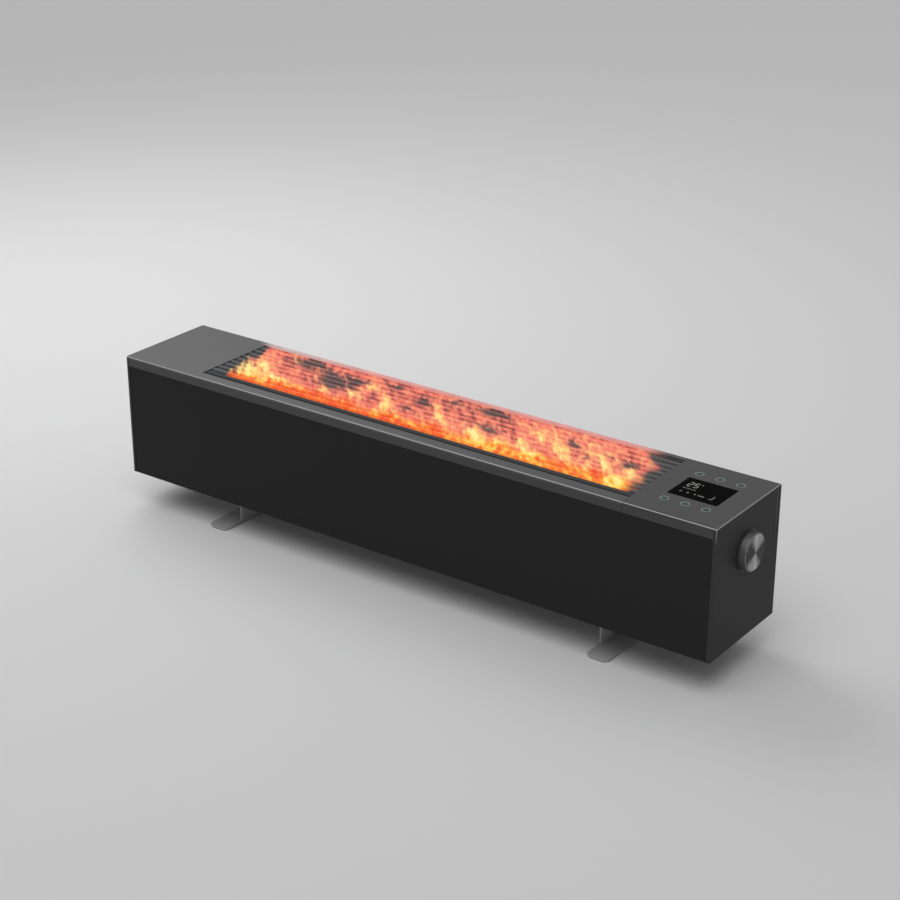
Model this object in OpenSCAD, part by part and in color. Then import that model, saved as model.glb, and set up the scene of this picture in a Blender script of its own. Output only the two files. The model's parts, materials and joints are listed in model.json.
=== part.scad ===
// Free-standing convector heater with a flame-effect grille, a control deck and a side knob.
// The pieces are drawn from the middle of the casing's underside: X along the heater, Y to the rear.
// stand() then lifts them onto the floor and centres the whole length, knob included, on the origin.

/* [Casing] */
// Length of the casing
body_l = 1000; // [900:10:1200]
// Depth of the casing, front to rear
body_d = 168; // [160:1:190]
// Height of the casing without its feet
body_h = 187.5; // [180:0.5:210]
// Thickness of the top sheet
deck_t = 2; // [1.5:0.1:2.5]
// Thickness of the front and rear sheets
panel_t = 1.2; // [0.8:0.1:1.5]
// Outer bend radius along the front edge of the top
front_bend_r = 4; // [3.5:0.1:6]
// Outer bend radius along the rear edge of the top
rear_bend_r = 2.6; // [2.6:0.1:3.4]
// Height of the lips that turn down from the top sheet
lip_h = 15; // [10:0.5:20]
// How far the front panel lies behind the front of the casing
front_recess = 0.6; // [0.3:0.1:0.8]
// Thickness of the end caps
cap_t = 4.5; // [3.5:0.1:6]
// Width of the rear cover's return on each end
return_w = 8.8; // [7:0.1:12]

/* [Grille] */
// Length of the plain deck to the left of the grille opening
left_deck_l = 137.5; // [120:0.5:160]
// Length of the control deck to the right of the grille opening
control_l = 136; // [134:0.5:160]
// Width of the front rail
front_rail_w = 17; // [15:0.5:20]
// Width of the rear rail
rear_rail_w = 10; // [9:0.5:12]
// Number of slats
slat_count = 10; // [6:1:12]
// Thickness of a slat
slat_w = 4; // [2:0.1:5]
// Height of a slat
slat_h = 9; // [6:0.5:10]
// How far the slats lie below the top sheet
slat_drop = 0.6; // [0.3:0.1:1]
// Number of cross bars under the slats
cross_bar_count = 6; // [3:1:8]

/* [Controls] */
// Distance from the right end to the middle of the display window
window_in = 69; // [66:0.5:72]
// Middle of the display window, front to rear
window_y = 2.5; // [0:0.5:4]
// Length of the display window
window_l = 72; // [60:0.5:74]
// Depth of the display window
window_d = 57.5; // [50:0.5:60]
// Distance from one key to the next
key_pitch = 30; // [26:0.5:34]
// Distance from the middle of the window to each row of keys
key_row = 45; // [43:0.5:46]
// Radius of a key
key_r = 4.7; // [4:0.1:5]
// Width of the light ring round a key
ring_w = 1.25; // [1:0.05:1.5]
// Travel of a key
key_travel = 0.8; // [0.4:0.1:1]
// Radius of the knob
knob_r = 25.5; // [20:0.5:28]
// How far the knob stands out from the end cap
knob_out = 12; // [11:0.5:16]
// Distance from the top down to the knob's axis
knob_drop = 61.5; // [50:0.5:75]
// Radius of the knob's shaft
shaft_r = 3; // [2.5:0.1:3.5]

/* [Feet] */
// Distance from the end of the casing to the inner face of a foot
foot_in = 184; // [160:1:200]
// Drop from the casing to the top of the foot plate
foot_drop = 46.5; // [35:0.5:60]
// Thickness of the foot's plate
foot_t = 2.5; // [2:0.1:3.5]
// Width of the foot plate
foot_w = 34; // [30:0.5:44]
// Depth of the upright of a foot
foot_web_d = 95; // [80:1:110]
// Corner radius of the foot plate
foot_corner_r = 9; // [4:0.5:12]
// Thickness of the pads under the feet
pad_t = 1.5; // [1:0.1:3]

/* [Heating] */
// Radius of the heating tube
tube_r = 4.25; // [3:0.05:5]
// Half the distance between the two runs of the heating tube
tube_half = 20; // [16:0.5:24]
// Height of the heating tube above the underside of the casing
tube_z = 62; // [58:1:70]
// Distance from one fin to the next
fin_pitch = 14; // [12:0.5:20]
// Thickness of a fin
fin_t = 1; // [0.6:0.1:1.4]
// Depth of a fin, front to rear
fin_d = 90; // [80:1:96]
// Height of a fin
fin_h = 50; // [40:1:56]

/* [Hidden] */
$fn = 48;

// Clearances and shared values
overrun = 1;
seam = 0.4;
fit = 0.2;
seat = 0.1;
air = 0.3;
edge_chamfer = 0.8;
cap_chamfer = 0.6;

// Faces of the casing
x_end = body_l / 2;
foot_x = x_end - foot_in;
x_cap = x_end - cap_t;
x_in = x_cap - fit;
y_front = -body_d / 2;
y_rear = body_d / 2;
z_deck = body_h - deck_t;
z_lip = body_h - lip_h;
tray_t = 1.5;
z_tray = panel_t + tray_t;
foot_h = foot_drop + foot_t + pad_t;

// Panels: the flange behind a lip, and the flange under the tray
flange_depth = deck_t + seat;
flange_gap = 1.5;
z_panel = z_lip - seam - fit;
bottom_flange_w = 12;
return_t = 1.2;
x_return = x_end - return_t - seat;
cap_rear_lip = 2.2;

// Grille opening and its frame
grille_left = x_end - left_deck_l;
grille_right = x_end - control_l;
y_open_front = y_front + front_rail_w;
y_open_rear = y_rear - rear_rail_w;
open_d = y_open_rear - y_open_front;
slat_gap = (open_d - slat_count * slat_w) / (slat_count + 1);
slat_pitch = slat_gap + slat_w;
frame_t = 2;
frame_reach = 7;
frame_rear_reach = 5.6;
frame_end = 11.5;
frame_bite = 3;
bar_w = 3;
bar_h = 5;
slat_top = body_h - slat_drop;
slat_bottom = slat_top - slat_h;
z_frame = z_deck - frame_t;
end_bar_lap = 1.5;

// Bulkheads and heat shields
bulkhead_t = 1;
bulkhead_lead = 8;
x_bulk_left = -grille_left - bulkhead_lead;
x_bulk_right = grille_right + bulkhead_lead;
bulk_in = 4;
bulk_front = y_front + bulk_in;
loom_channel = 7.8;
bulk_rear = y_rear - loom_channel;
shield_t = 0.8;
shield_z = 12;
shield_tab = 10;
x_duct_left = x_bulk_left + bulkhead_t;
duct_l = x_bulk_right - x_bulk_left - bulkhead_t;

// Flame tray, its board and screen
tray_front_in = 13;
tray_rear_in = 12;
tray_front = y_open_front + tray_front_in;
tray_rear = y_open_rear - tray_rear_in;
flame_depth = 41.5;
flame_z = z_deck - flame_depth;
flame_sheet = 1;
flame_wall = 24;
flame_lip = 7;
screen_t = 2.4;
board_t = 1.6;
flame_boss_r = 3.5;
flame_boss_h = 4;
flame_boss_count = 7;
flame_board_in = 9;
led_size = 5;
led_h = 1.5;
led_rows = 3;
led_columns = 24;
flame_mid = (tray_front + tray_rear) / 2;
flame_board_end = 20;
flame_board_l = duct_l - 2 * flame_board_end;
spacer_h = 5;
spacer_r = 4;
deflector_drop = 20;
deflector_ledge = 10;
z_deflector = flame_z - spacer_h - shield_t;

// Heating element
tube_y = (y_open_front + y_open_rear) / 2;
bend_in = 38;
bend_x = grille_right - bend_in;
tube_out = 22;
fin_lead = 22;
fin_margin = 40;
fin_count = floor((bend_x + grille_left - fin_margin) / fin_pitch);
fin_start = -grille_left + fin_lead;
support_t = 1.2;
support_foot = 12;
support_share = [0.12, 0.5, 0.97];
insulator_r = 8;
insulator_l = 6;
tab_l = 9;
tab_w = 6.3;
tab_t = 0.8;
stub_r = 1.6;
cutout_r = 8;
cutout_h = 7;
cutout_y = 30;
cutout_rise = 43;
cutout_z = tube_z + cutout_rise;

// Intake slots
slot_w = 6;
slot_l = 34;
slot_rows = 3;
slot_row_pitch = 42;
slot_pitch = 16;
foot_clear = 26;
tray_slot_half = foot_x - foot_clear;
vent_w = 5;
vent_h = 44;
vent_z = 46;
vent_pitch = 15;
vent_end = 30;
vent_half = grille_left - vent_end;

// Display, keys and their board
window_x = x_end - window_in;
board_drop = 7.5;
glass_drop = 0.1;
window_gap = 0.15;
module_rim = 3;
module_h = 5.2;
module_lip = 4;
z_board = z_deck - board_drop;
board_lead = 9;
board_side = 6;
board_past_keys = 14;
board_depth = key_row + board_past_keys;
hole_key_r = key_r + air + ring_w;
ring_lip = 1.25;
ring_lip_t = 0.6;
key_proud = 0.2;
key_flange_t = 1.2;
key_flange_r = hole_key_r;
key_stem_r = 1.5;
switch_body = 7;
switch_h = 3.5;
switch_hole_r = key_stem_r + air;
switch_floor = 1.4;
stem_gap = 0.2;
z_key_top = body_h - key_proud;
z_ring_bottom = z_deck - ring_lip_t;
z_key_flange = z_ring_bottom - air;
z_stem = z_board + switch_floor + key_travel + stem_gap;
post_r = 3;
post_hole_r = 1.5;
KEYS = [for (row = [-1, 1]) for (i = [-1, 0, 1]) [window_x + i * key_pitch, window_y + row * key_row]];

// Knob, shaft and rotary switch
knob_z = body_h - knob_drop;
knob_gap = 0.6;
knob_wall = 2.2;
knob_face_t = 3;
knob_edge = 1;
cap_seat = 1.2;
cap_in = 1;
cap_r = knob_r - cap_in;
cap_proud = 1;
cap_edge = 0.6;
bezel_gap = 0.8;
bezel_w = 1.8;
bezel_h = 1.6;
bezel_edge = 0.5;
hub_r = 7;
shaft_fit = 0.05;
bush_r = 4.5;
bush_out = 3.6;
nut_r = 7;
nut_h = 2.2;
switch_r = 13;
switch_l = 16;
pin_r = 0.8;
pin_l = 5;
x_knob = x_end + knob_out;
x_knob_back = x_end + knob_gap;
x_knob_face = x_knob - cap_proud;
x_hub_back = x_end + bush_out + air + fit;
shaft_in = 9;
shaft_end_gap = 0.5;

// Power bay at the left end
standoff_r = 3.5;
standoff_h = 12;
power_in = 14;
power_x = -x_cap + power_in;
power_l = 92;
power_front = 22;
power_rear = 38;
power_y = y_front + power_front;
power_d = body_d - power_front - power_rear;
z_power = z_tray + standoff_h;
relay_l = 19;
relay_d = 15.5;
relay_h = 15;
supply_l = 34;
supply_d = 24;
supply_h = 20;
block_l = 36;
block_d = 13;
block_h = 16;
block_in = 50;
block_gap = 12;
block_x = power_x + block_in;
block_y = power_y + power_d + block_gap;
tilt_size = 16;
tilt_h = 18;
sensor_r = 2.5;
sensor_l = 18;
sensor_out = 30;
sensor_in = 30;
sensor_x = x_bulk_right + sensor_out;
sensor_y = y_front + sensor_in;
sensor_base = 8;
gland_in = 22;
gland_rear = 24;
gland_x = power_x + gland_in;
gland_y = y_rear - gland_rear;
gland_r = 7.5;
gland_bore = 3.8;
gland_flange_r = 11;
gland_flange_t = 2;
gland_nose = 9;
gland_nose_r = 6;
gland_inside = 8;
gland_nut_h = 4;

// Fasteners
screw_r = 1.9;
screw_hole_r = 2.1;
screw_head_r = 3.6;
screw_head_h = 2;
screw_l = 8;
cross_l = 4;
cross_w = 0.9;
cross_h = 1.1;
bottom_screw_in = 7;
bottom_screw_count = 6;
bottom_screw_margin = 50;
boss_l = 14;
boss_d = 16;
boss_h = 24;
boss_in = 26;
boss_y = body_d / 2 - boss_in;
foot_screw_r = 2.5;
foot_hole_r = 2.65;
foot_head_r = 4.6;
foot_head_h = 2.6;
foot_screw_l = 9;
foot_nut_r = 4.4;
foot_nut_h = 4;
foot_flange_w = 26;
foot_screw_in = 14;
foot_screw_y = foot_web_d / 2 - foot_screw_in;
pad_l = 30;
pad_in = 6;
pad_end = 10;

// Wires
wire_r = 1.2;
loom_r = 2.3;
wire_sides = 8;
bend_steps = 4;
bend_back = 7;
tray_rail_h = 6;
flame_boss_in = 28;
flame_lead_z = flame_z + flame_wall / 2;
loom_z = 36;
loom_y = (bulk_rear + y_rear - panel_t) / 2;
loom_end_in = 25;
pad_r = 4;

// Helpers

// Extrudes a section of Y and Z from x0 to x1.
module along_x(x0, x1) {
    translate([x0, 0, 0])
        rotate([90, 0, 90])
            linear_extrude(x1 - x0) children();
}

// Turns a section of radius and X about the knob's axis.
module turned_on_x(z) {
    translate([0, 0, z])
        rotate([0, 90, 0])
            rotate_extrude() children();
}

module rod_on_x(x0, x1, r) {
    translate([x0, 0, 0])
        rotate([0, 90, 0])
            cylinder(r = r, h = x1 - x0);
}

module block(low, high) {
    translate(low) cube(high - low);
}

module long_slot(l, w) {
    square([l - w, w], center = true);
    for (s = [-1, 1]) translate([s * (l - w) / 2, 0]) circle(r = w / 2);
}

module rounded_plate(size, r) {
    translate([r, 0]) square([size.x - 2 * r, size.y]);
    translate([0, r]) square([size.x, size.y - 2 * r]);
    for (x = [r, size.x - r])
        for (y = [r, size.y - r])
            translate([x, y]) circle(r = r);
}

module both_ends() {
    children();
    mirror([1, 0, 0]) children();
}

function spread(first, last, count) = [for (i = [0:count - 1]) first + i * (last - first) / (count - 1)];

// Wires: corners are rounded, then rings of points are joined to a tube.
function unit(v) = v / norm(v);
function mix(a, b, t) = a * (1 - t) + b * t;
function rounded_corner(a, p, b) =
    let (back = min(bend_back, norm(p - a) / 3, norm(b - p) / 3),
         s = p + unit(a - p) * back,
         e = p + unit(b - p) * back)
    [for (i = [0:bend_steps]) let (t = i / bend_steps) mix(mix(s, p, t), mix(p, e, t), t)];
function rounded_path(pts) = [
    pts[0],
    for (i = [1:len(pts) - 2]) each rounded_corner(pts[i - 1], pts[i], pts[i + 1]),
    pts[len(pts) - 1]
];
function heading(pts, i) =
    i == 0 ? unit(pts[1] - pts[0])
    : i == len(pts) - 1 ? unit(pts[i] - pts[i - 1])
    : unit(unit(pts[i] - pts[i - 1]) + unit(pts[i + 1] - pts[i]));
function carried(side, dir) = unit(side - dir * (side * dir));
function sides_of(pts) = [
    for (i = 0,
            d = heading(pts, 0),
            s = carried(abs(d.z) < 0.9 ? [0, 0, 1] : [1, 0, 0], d);
        i < len(pts);
        i = i + 1,
            d = i < len(pts) ? heading(pts, i) : d,
            s = carried(s, d))
    s
];

module wire(route, r) {
    pts = rounded_path(route);
    across = sides_of(pts);
    rings = [
        for (i = [0:len(pts) - 1])
            let (d = heading(pts, i), u = across[i], v = cross(d, u))
            for (k = [0:wire_sides - 1])
                let (a = 360 * k / wire_sides)
                pts[i] + r * (cos(a) * u + sin(a) * v)
    ];
    last = len(pts) - 1;
    polyhedron(rings, concat(
        [[for (k = [0:wire_sides - 1]) k]],
        [[for (k = [wire_sides - 1:-1:0]) last * wire_sides + k]],
        [for (i = [0:last - 1])
            for (k = [0:wire_sides - 1])
                let (n = (k + 1) % wire_sides, a = i * wire_sides, b = a + wire_sides)
                each [[a + k, b + k, b + n], [a + k, b + n, a + n]]]
    ));
}

// Casing

// Section of the closed casing, across its length.
module outline() {
    translate([y_front, 0]) square([body_d / 2, body_h - front_bend_r]);
    square([body_d / 2, body_h - rear_bend_r]);
    translate([y_front + front_bend_r, 0]) square([body_d - front_bend_r - rear_bend_r, body_h]);
    translate([y_front + front_bend_r, body_h - front_bend_r]) circle(r = front_bend_r);
    translate([y_rear - rear_bend_r, body_h - rear_bend_r]) circle(r = rear_bend_r);
}

module deck_section() {
    intersection() {
        outline();
        translate([y_front, z_deck]) square([body_d, deck_t]);
    }
}

module lip_section(y0) {
    intersection() {
        outline();
        translate([y0, z_lip]) square([deck_t, lip_h]);
    }
}

module deck(x0, x1) {
    front0 = max(x0, -x_in);
    front1 = min(x1, x_in);
    rear0 = max(x0, -x_return);
    rear1 = min(x1, x_return);
    difference() {
        union() {
            along_x(x0, x1) deck_section();
            along_x(front0, front1) lip_section(y_front);
            along_x(rear0, rear1) lip_section(y_rear - deck_t);
        }
        both_ends()
            translate([x_end, 0, body_h])
                rotate([0, 45, 0])
                    cube([edge_chamfer * sqrt(2), body_d + overrun, edge_chamfer * sqrt(2)], center = true);
    }
}

module top_frame() {
    color([0.36, 0.36, 0.37])
        difference() {
            deck(-x_end, grille_right - seam / 2);
            block([-grille_left, y_open_front, z_deck - overrun],
                  [grille_right, y_open_rear, body_h + overrun]);
        }
}

module control_deck() {
    color([0.27, 0.28, 0.28])
        difference() {
            deck(grille_right + seam / 2, x_end);
            translate([window_x, window_y, z_deck])
                cube([window_l + 2 * window_gap, window_d + 2 * window_gap, body_h], center = true);
            for (k = KEYS)
                translate([k.x, k.y, z_deck - overrun]) cylinder(r = hole_key_r, h = deck_t + 2 * overrun);
        }
}

// Section of a panel, from its outer face inwards: wall, flange behind the lip, flange under the tray.
module panel_section(recess) {
    translate([recess, 0]) square([panel_t, z_panel]);
    translate([recess, z_panel - panel_t]) square([flange_depth + panel_t - recess, panel_t]);
    translate([flange_depth, z_panel - panel_t]) square([panel_t, z_deck - flange_gap - z_panel + panel_t]);
    translate([recess, 0]) square([bottom_flange_w, panel_t]);
}

module bottom_screws_at(y) {
    for (x = spread(bottom_screw_margin - x_end, x_end - bottom_screw_margin, bottom_screw_count))
        translate([x, y, 0]) children();
}

module front_panel() {
    color([0.13, 0.13, 0.13])
        difference() {
            along_x(-x_in, x_in) translate([y_front, 0]) panel_section(front_recess);
            bottom_screws_at(y_front + bottom_screw_in)
                translate([0, 0, -overrun]) cylinder(r = screw_hole_r, h = panel_t + 2 * overrun);
        }
}

module rear_cover() {
    vents = 2 * floor(vent_half / vent_pitch);
    color([0.17, 0.17, 0.17])
        difference() {
            union() {
                along_x(-x_in, x_in) translate([y_rear, 0]) mirror([1, 0]) panel_section(0);
                block([-x_end, y_rear - panel_t, 0], [x_end, y_rear, z_panel]);
                both_ends()
                    intersection() {
                        block([x_end - return_t, y_rear - return_w, 0], [x_end, y_rear, z_deck]);
                        along_x(x_end - return_t, x_end) outline();
                    }
            }
            bottom_screws_at(y_rear - bottom_screw_in)
                translate([0, 0, -overrun]) cylinder(r = screw_hole_r, h = panel_t + 2 * overrun);
            for (x = spread(-vent_half, vent_half, vents))
                translate([x, y_rear + overrun, vent_z])
                    rotate([90, 0, 0])
                        linear_extrude(panel_t + 2 * overrun) rotate(90) long_slot(vent_h, vent_w);
        }
}

// Plan of an end cap: chamfered at the front, rebated at the rear for the cover's return.
module cap_plan() {
    rebate_y = y_rear - return_w - seam;
    polygon([
        [x_cap, y_front],
        [x_end - cap_chamfer, y_front],
        [x_end, y_front + cap_chamfer],
        [x_end, rebate_y],
        [x_return, rebate_y],
        [x_return, y_rear - cap_rear_lip],
        [x_cap, y_rear - cap_rear_lip]
    ]);
}

module end_cap() {
    difference() {
        union() {
            intersection() {
                linear_extrude(z_deck) cap_plan();
                along_x(x_cap, x_end) outline();
            }
            for (s = [-1, 1])
                translate([x_cap - boss_l, s * boss_y - boss_d / 2, z_tray]) cube([boss_l, boss_d, boss_h]);
        }
        cap_screws_at() cylinder(r = screw_r + seat / 2, h = z_tray + screw_l + screw_l);
    }
}

module cap_screws_at() {
    for (s = [-1, 1]) translate([x_cap - boss_l / 2, s * boss_y, 0]) children();
}

module right_end_cap() {
    color([0.21, 0.21, 0.21])
        difference() {
            end_cap();
            translate([0, 0, knob_z]) rod_on_x(x_cap - overrun, x_end + overrun, bush_r + fit);
        }
}

module left_end_cap() {
    color([0.21, 0.21, 0.21]) mirror([1, 0, 0]) end_cap();
}

module base_tray() {
    y0 = y_front + front_recess + panel_t + seat;
    y1 = y_rear - panel_t - seat;
    columns = floor(2 * tray_slot_half / slot_pitch);
    color([0.15, 0.15, 0.15])
        difference() {
            union() {
                block([-x_in, y0, panel_t], [x_in, y1, z_tray]);
                block([-x_in, y0, z_tray], [x_in, y0 + tray_t, z_tray + tray_rail_h]);
                block([-x_in, y1 - tray_t, z_tray], [x_in, y1, z_tray + tray_rail_h]);
            }
            for (x = spread(-tray_slot_half, tray_slot_half, columns))
                for (row = [0:slot_rows - 1])
                    translate([x, (row - (slot_rows - 1) / 2) * slot_row_pitch, panel_t - overrun])
                        linear_extrude(tray_t + 2 * overrun) rotate(90) long_slot(slot_l, slot_w);
            for (y = [y_front + bottom_screw_in, y_rear - bottom_screw_in])
                bottom_screws_at(y) cylinder(r = screw_r + seat / 2, h = z_tray + overrun);
            both_ends() cap_screws_at() cylinder(r = screw_hole_r, h = z_tray + overrun);
            foot_screws_at() cylinder(r = foot_hole_r, h = z_tray + overrun);
            translate([gland_x, gland_y, 0]) cylinder(r = gland_r + seat, h = z_tray + overrun);
        }
}

// Grille and flame effect

module slat_section(y) {
    c = slat_drop;
    translate([y, 0])
        polygon([
            [-slat_w / 2, slat_bottom],
            [slat_w / 2, slat_bottom],
            [slat_w / 2, slat_top - c],
            [slat_w / 2 - c, slat_top],
            [c - slat_w / 2, slat_top],
            [-slat_w / 2, slat_top - c]
        ]);
}

function bar_x(i) = i * (grille_left + grille_right) / (cross_bar_count + 1) - grille_left - bar_w / 2;

module grille() {
    color([0.30, 0.31, 0.31]) {
        difference() {
            block([-grille_left - frame_end, y_open_front - frame_reach, z_frame],
                  [grille_right + frame_end, y_open_rear + frame_rear_reach, z_deck]);
            block([-grille_left, y_open_front, z_frame - overrun],
                  [grille_right, y_open_rear, z_deck + overrun]);
        }
        for (x = [[-grille_left - end_bar_lap, frame_bite - grille_left],
                  [grille_right - frame_bite, grille_right + end_bar_lap]])
            block([x[0], y_open_front + fit, slat_bottom], [x[1], y_open_rear - fit, z_frame]);
        for (i = [0:slat_count - 1])
            along_x(fit - grille_left, grille_right - fit)
                slat_section(y_open_front + slat_gap + slat_w / 2 + i * slat_pitch);
        for (i = [1:cross_bar_count])
            along_x(bar_x(i), bar_x(i) + bar_w)
                translate([y_open_front, slat_bottom - bar_h]) square([open_d, bar_h + fit]);
    }
}

module flame_tray() {
    z1 = flame_z + flame_wall;
    color([0.55, 0.56, 0.57]) {
        along_x(x_duct_left, x_bulk_right) {
            translate([tray_front, flame_z]) square([tray_rear - tray_front, flame_sheet]);
            for (y = [tray_front, tray_rear - flame_sheet])
                translate([y, flame_z]) square([flame_sheet, flame_wall]);
            for (y = [tray_front, tray_rear - flame_lip])
                translate([y, z1 - flame_sheet]) square([flame_lip, flame_sheet]);
        }
        flame_bosses_at() cylinder(r = flame_boss_r, h = flame_sheet + flame_boss_h);
    }
}

module flame_bosses_at() {
    for (x = spread(x_duct_left + flame_boss_in, x_bulk_right - flame_boss_in, flame_boss_count))
        for (y = [tray_front + flame_board_in + flame_boss_r, tray_rear - flame_board_in - flame_boss_r])
            translate([x, y, flame_z]) children();
}

module flame_light_board() {
    z0 = flame_z + flame_sheet + flame_boss_h;
    x0 = (x_duct_left + x_bulk_right - flame_board_l) / 2;
    y0 = tray_front + flame_board_in;
    y1 = tray_rear - flame_board_in;
    color([0.85, 0.86, 0.84]) {
        block([x0, y0, z0], [x0 + flame_board_l, y1, z0 + board_t]);
        for (x = spread(x0 + led_size * 2, x0 + flame_board_l - led_size * 2, led_columns))
            for (y = spread(y0 + led_size * 2, y1 - led_size * 2, led_rows))
                translate([x - led_size / 2, y - led_size / 2, z0 + board_t])
                    cube([led_size, led_size, led_h]);
    }
}

module flame_screen() {
    z0 = flame_z + flame_wall;
    color([0.95, 0.45, 0.15])
        block([x_duct_left + seat, tray_front, z0], [x_bulk_right - seat, tray_rear, z0 + screen_t]);
}

module tray_spacers() {
    color([0.75, 0.75, 0.75])
        for (x = spread(x_duct_left + deflector_drop, x_bulk_right - deflector_drop, flame_boss_count))
            for (y = [tray_front + deflector_ledge / 2, tray_rear - deflector_ledge / 2])
                translate([x, y, z_deflector + shield_t]) cylinder(r = spacer_r, h = spacer_h);
}

module heat_deflector() {
    edge = [
        [tray_front, z_deflector],
        [tray_front + deflector_ledge, z_deflector],
        [flame_mid, z_deflector - deflector_drop],
        [tray_rear - deflector_ledge, z_deflector],
        [tray_rear, z_deflector]
    ];
    color([0.72, 0.72, 0.72])
        along_x(x_duct_left + seat, x_bulk_right - seat)
            polygon(concat(edge, [for (i = [len(edge) - 1:-1:0]) edge[i] + [0, shield_t]]));
}

// A plate the length of the duct, with a tab at each end that starts at tab_y.
module heat_shield(y, tab_y) {
    color([0.72, 0.72, 0.72]) {
        block([x_duct_left, y, shield_z], [x_bulk_right, y + shield_t, z_frame]);
        for (x = [x_duct_left, x_bulk_right - shield_t])
            translate([x, tab_y, shield_z]) cube([shield_t, shield_tab, flame_z - shield_z]);
    }
}

module front_heat_shield() {
    heat_shield(y_open_front - shield_t, y_open_front - shield_t - shield_tab);
}

module rear_heat_shield() {
    heat_shield(y_open_rear, y_open_rear + shield_t - shield_tab);
}

module bulkhead(x) {
    block([x, bulk_front, z_tray], [x + bulkhead_t, bulk_rear, z_frame]);
}

module tube_runs_at() {
    for (s = [-1, 1]) translate([0, tube_y + s * tube_half, tube_z]) children();
}

module left_bulkhead() {
    color([0.6, 0.6, 0.6])
        difference() {
            bulkhead(x_bulk_left);
            tube_runs_at() rod_on_x(x_bulk_left - overrun, x_bulk_left + bulkhead_t + overrun, insulator_r);
        }
}

module right_bulkhead() {
    color([0.6, 0.6, 0.6])
        difference() {
            bulkhead(x_bulk_right);
            translate([0, flame_mid, flame_lead_z])
                rod_on_x(x_bulk_right - overrun, x_bulk_right + bulkhead_t + overrun, 2 * wire_r);
        }
}

// Heating element

module heating_tube() {
    x_cold = x_bulk_left - tube_out;
    color([0.5, 0.48, 0.46]) {
        tube_runs_at() {
            rod_on_x(x_cold, bend_x, tube_r);
            rod_on_x(x_cold - insulator_l, x_cold, stub_r);
            block([x_cold - insulator_l - tab_l, -tab_t / 2, -tab_w / 2],
                  [x_cold - insulator_l, tab_t / 2, tab_w / 2]);
        }
        translate([bend_x, tube_y, tube_z])
            rotate([0, 0, -90])
                rotate_extrude(angle = 180) translate([tube_half, 0]) circle(r = tube_r);
    }
}

module upright_on_tube(x, thick, low, high) {
    difference() {
        block([x, tube_y - fin_d / 2, low], [x + thick, tube_y + fin_d / 2, high]);
        tube_runs_at() rod_on_x(x - overrun, x + thick + overrun, tube_r + seat);
    }
}

module element_fins() {
    color([0.78, 0.79, 0.8])
        for (i = [0:fin_count - 1])
            upright_on_tube(fin_start + i * fin_pitch, fin_t, tube_z - fin_h / 2, tube_z + fin_h / 2);
}

module element_supports() {
    color([0.66, 0.66, 0.66])
        for (share = support_share) {
            x = fin_start + (floor(share * (fin_count - 2)) + 0.5) * fin_pitch;
            upright_on_tube(x, support_t, z_tray, tube_z + fin_h / 2);
            block([x + support_t, tube_y - fin_d / 2, z_tray],
                  [x + support_foot, tube_y + fin_d / 2, z_tray + support_t]);
        }
}

module element_insulators() {
    x0 = x_bulk_left - insulator_l;
    color([0.92, 0.9, 0.84])
        tube_runs_at()
            difference() {
                union() {
                    rod_on_x(x0, x_bulk_left, insulator_r + bulkhead_t * 2);
                    rod_on_x(x_bulk_left, x_bulk_left + bulkhead_t, insulator_r - seat);
                }
                rod_on_x(x0 - overrun, x_bulk_left + 2 * overrun, tube_r + seat);
            }
}

module thermal_cutout() {
    color([0.2, 0.19, 0.18])
        translate([0, cutout_y, cutout_z]) {
            rod_on_x(x_bulk_left - cutout_h, x_bulk_left, cutout_r);
            block([x_bulk_left - tab_t, -2 * cutout_r, -cutout_r / 2],
                  [x_bulk_left, 2 * cutout_r, cutout_r / 2]);
            for (s = [-1, 1])
                translate([0, s * cutout_r / 2, 0])
                    block([x_bulk_left - cutout_h - tab_l, -tab_t / 2, -tab_w / 2],
                          [x_bulk_left - cutout_h, tab_t / 2, tab_w / 2]);
        }
}

// Display, keys and their board

module display_window() {
    color([0.02, 0.02, 0.02])
        block([window_x - window_l / 2, window_y - window_d / 2, z_deck],
              [window_x + window_l / 2, window_y + window_d / 2, body_h - glass_drop]);
}

module display_module() {
    half = [window_l / 2 + module_rim, window_d / 2 + module_rim];
    z0 = z_deck - module_h;
    color([0.1, 0.1, 0.11]) {
        block([window_x - half.x, window_y - half.y, z0], [window_x + half.x, window_y + half.y, z_deck]);
        for (s = [-1, 1])
            block([window_x - half.x + module_lip, window_y + s * half.y / 2 - module_lip / 2, z_board],
                  [window_x + half.x - module_lip, window_y + s * half.y / 2 + module_lip / 2, z0]);
    }
}

module control_posts_at() {
    for (sx = [-1, 1])
        for (sy = [-1, 1])
            translate([window_x + sx * (key_pitch + board_lead + post_r),
                       window_y + sy * (board_depth - board_side), 0])
                children();
}

module control_board() {
    half_l = key_pitch + board_lead + 2 * post_r;
    color([0.06, 0.25, 0.13])
        difference() {
            block([window_x - half_l, window_y - board_depth, z_board - board_t],
                  [window_x + half_l, window_y + board_depth, z_board]);
            control_posts_at()
                translate([0, 0, z_board - board_t - overrun])
                    cylinder(r = post_hole_r, h = board_t + 2 * overrun);
        }
}

module control_posts() {
    color([0.8, 0.8, 0.8])
        control_posts_at() {
            translate([0, 0, z_board]) cylinder(r = post_r, h = z_deck - z_board);
            translate([0, 0, z_board - board_t]) cylinder(r = post_hole_r - seat, h = board_t);
            translate([0, 0, z_board - 2 * board_t]) cylinder(r = post_r, h = board_t);
        }
}

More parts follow.
